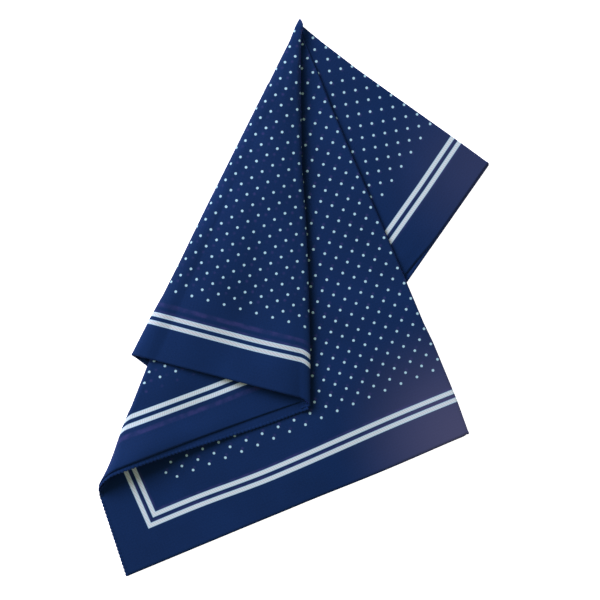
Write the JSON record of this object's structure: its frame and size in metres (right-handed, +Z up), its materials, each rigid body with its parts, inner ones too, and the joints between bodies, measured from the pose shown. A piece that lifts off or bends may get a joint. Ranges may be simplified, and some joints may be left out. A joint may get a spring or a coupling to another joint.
{
  "type": "folded handkerchief",
  "caption": "Dotted and striped navy cotton handkerchief with rolled hems, halved and pleated from one peak, lying flat.",
  "frame": {"origin": "middle of the folded cloth's footprint, on the surface it lies on", "axes": "+X to the right across the fold, +Y towards the peak that the pleats run from, +Z up off the surface"},
  "size_m": [0.2429, 0.3478, 0.0136],
  "materials": {
    "cloth": "matt printed cotton lawn",
    "hem": "matt rolled and stitched cotton lawn"
  },
  "bodies": {
    "root": {"front_pleat": "cloth", "turned_flap": "cloth", "flap_under_layer": "cloth", "lower_panel": "cloth", "rear_panel": "cloth", "inner_layers": "cloth", "front_pleat_hem": "hem", "turned_flap_hem": "hem", "flap_under_layer_hem": "hem", "lower_panel_hem": "hem", "rear_panel_hem": "hem"}
  },
  "joints": []
}
